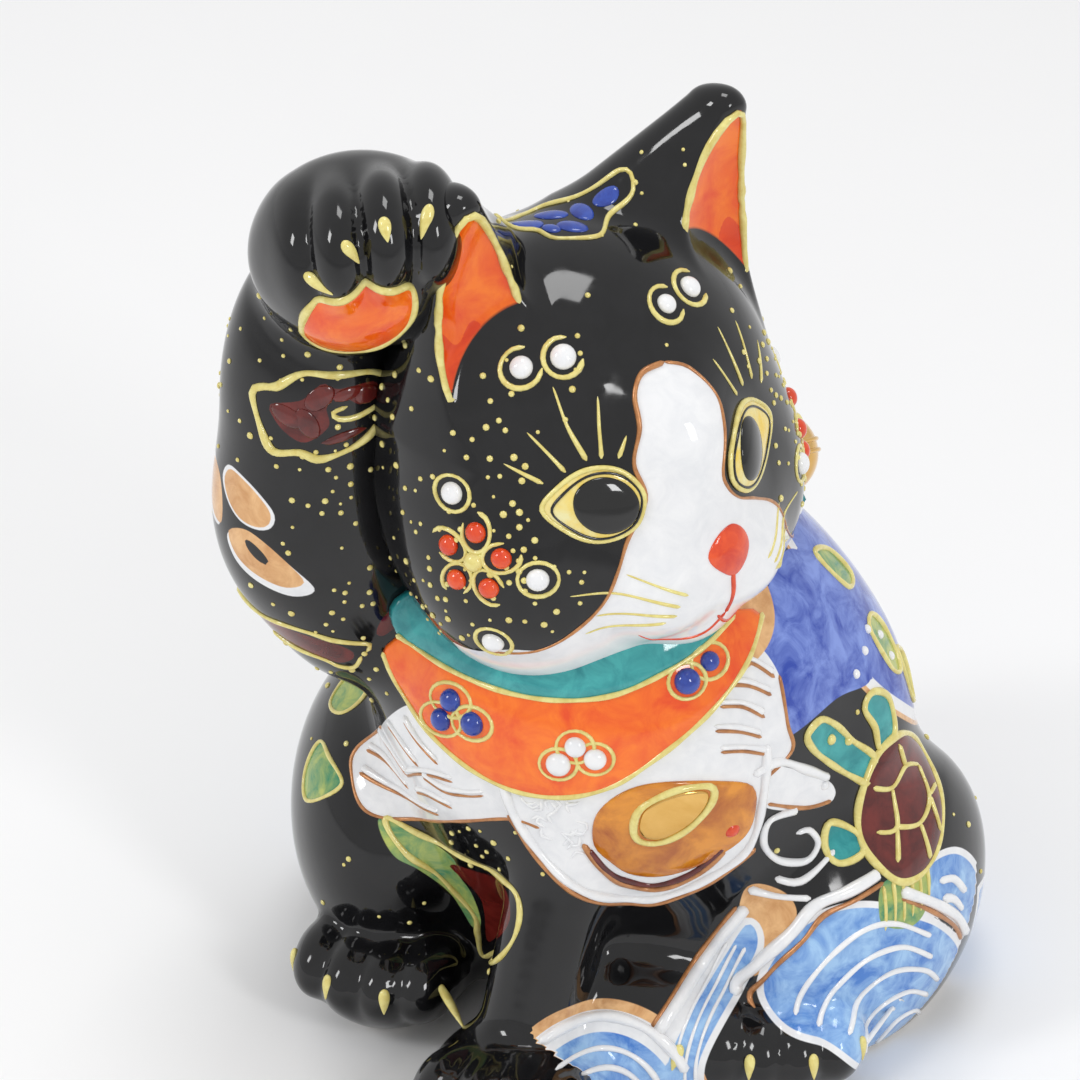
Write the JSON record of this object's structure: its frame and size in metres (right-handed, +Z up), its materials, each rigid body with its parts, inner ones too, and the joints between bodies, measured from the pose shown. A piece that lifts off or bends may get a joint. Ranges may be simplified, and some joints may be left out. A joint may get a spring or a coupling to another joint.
{
  "type": "beckoning cat figurine",
  "caption": "Seated porcelain cat with one paw raised, its head turned, with a bib, a bell and raised enamel decoration.",
  "frame": {"origin": "centre of the bounding box on the plane the figurine sits on", "axes": "+Z up, the cat's chest faces -Y and its own left side is +X; the head is turned to its left"},
  "size_m": [0.118, 0.1154, 0.163],
  "materials": {
    "black_glaze": "glossy black porcelain glaze",
    "bare_porcelain": "unglazed white biscuit porcelain",
    "orange_enamel": "glossy orange overglaze enamel",
    "red_enamel": "glossy vermilion enamel",
    "teal_enamel": "glossy translucent teal enamel",
    "gilt": "burnished gold lustre",
    "yellow_enamel": "glossy pale yellow raised enamel",
    "black_enamel": "glossy black enamel",
    "white_enamel": "glossy white raised enamel",
    "blue_enamel": "glossy cobalt raised enamel",
    "maroon_enamel": "glossy maroon enamel",
    "amber_enamel": "glossy amber enamel"
  },
  "bodies": {
    "root": {"body_casting": "black_glaze", "head_casting": "black_glaze", "left_ear": "black_glaze", "right_ear": "black_glaze", "raised_arm": "black_glaze", "standing_foreleg": "black_glaze", "left_hind_foot": "black_glaze", "right_hind_foot": "black_glaze", "tail": "black_glaze", "base_disc": "bare_porcelain", "left_ear_lining": "orange_enamel", "right_ear_lining": "orange_enamel", "palm_pad": "orange_enamel", "bib": "orange_enamel", "nose": "red_enamel", "red_beads": "red_enamel", "neck_scarf": "teal_enamel", "bell": "gilt", "left_eye": "yellow_enamel", "right_eye": "yellow_enamel", "yellow_beads": "yellow_enamel", "claws": "yellow_enamel", "left_pupil": "black_enamel", "right_pupil": "black_enamel", "white_beads": "white_enamel", "blue_beads": "blue_enamel", "turtle_shell": "maroon_enamel", "amber_jewel": "amber_enamel"}
  },
  "joints": []
}
